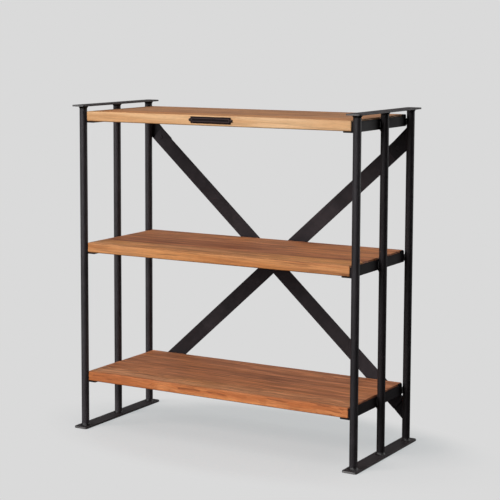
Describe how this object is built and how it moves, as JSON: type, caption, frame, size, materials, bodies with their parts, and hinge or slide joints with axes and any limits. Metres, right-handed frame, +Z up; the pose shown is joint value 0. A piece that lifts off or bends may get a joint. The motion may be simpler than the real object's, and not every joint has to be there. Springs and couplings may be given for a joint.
{
  "type": "bookcase",
  "caption": "Open bookcase: black steel end frames of round posts, thick wooden shelves on angle-iron brackets, and a flat-bar X-brace across the back.",
  "frame": {"origin": "on the floor, at the middle of the bookcase's width and depth", "axes": "+Z up, +X to the right seen from the front, -Y out of the front"},
  "size_m": [1.05, 0.46, 1.09],
  "materials": {
    "black_steel": "satin black finish over mild steel",
    "weld_steel": "black-finished weld beads",
    "bolt_steel": "black-finished bolts and nuts",
    "top_shelf_wood": "oiled honey-coloured hardwood",
    "middle_shelf_wood": "oiled orange-brown hardwood",
    "bottom_shelf_wood": "oiled reddish-brown hardwood",
    "nameplate_iron": "dark patinated casting, blank",
    "pin_steel": "darkened pins"
  },
  "bodies": {
    "frame": {"brace_bolts": "bolt_steel", "brace_nuts": "bolt_steel", "falling_brace_bar": "black_steel", "left_bottom_bracket": "black_steel", "left_bracket_welds": "weld_steel", "left_foot_plate": "black_steel", "left_foot_welds": "weld_steel", "left_front_post": "black_steel", "left_gusset_welds": "weld_steel", "left_middle_bracket": "black_steel", "left_middle_post": "black_steel", "left_rear_post": "black_steel", "left_top_bracket": "black_steel", "left_top_plate": "black_steel", "left_top_welds": "weld_steel", "lower_left_gusset": "black_steel", "lower_right_gusset": "black_steel", "right_bottom_bracket": "black_steel", "right_bracket_welds": "weld_steel", "right_foot_plate": "black_steel", "right_foot_welds": "weld_steel", "right_front_post": "black_steel", "right_gusset_welds": "weld_steel", "right_middle_bracket": "black_steel", "right_middle_post": "black_steel", "right_rear_post": "black_steel", "right_top_bracket": "black_steel", "right_top_plate": "black_steel", "right_top_welds": "weld_steel", "rising_brace_bar": "black_steel", "upper_left_gusset": "black_steel", "upper_right_gusset": "black_steel"},
    "top_shelf": {"nameplate": "nameplate_iron", "nameplate_pins": "pin_steel", "top_shelf_back_stave": "top_shelf_wood", "top_shelf_front_stave": "top_shelf_wood", "top_shelf_second_stave": "top_shelf_wood", "top_shelf_third_stave": "top_shelf_wood"},
    "middle_shelf": {"middle_shelf_back_stave": "middle_shelf_wood", "middle_shelf_front_stave": "middle_shelf_wood", "middle_shelf_second_stave": "middle_shelf_wood", "middle_shelf_third_stave": "middle_shelf_wood"},
    "bottom_shelf": {"bottom_shelf_back_stave": "bottom_shelf_wood", "bottom_shelf_front_stave": "bottom_shelf_wood", "bottom_shelf_second_stave": "bottom_shelf_wood", "bottom_shelf_third_stave": "bottom_shelf_wood"}
  },
  "joints": [
    {"name": "top_shelf_slide", "type": "slide", "parent": "frame", "child": "top_shelf", "axis": [0, -1, 0], "range_m": [0, 0.18]},
    {"name": "middle_shelf_slide", "type": "slide", "parent": "frame", "child": "middle_shelf", "axis": [0, -1, 0], "range_m": [0, 0.18]},
    {"name": "bottom_shelf_slide", "type": "slide", "parent": "frame", "child": "bottom_shelf", "axis": [0, -1, 0], "range_m": [0, 0.18]}
  ]
}
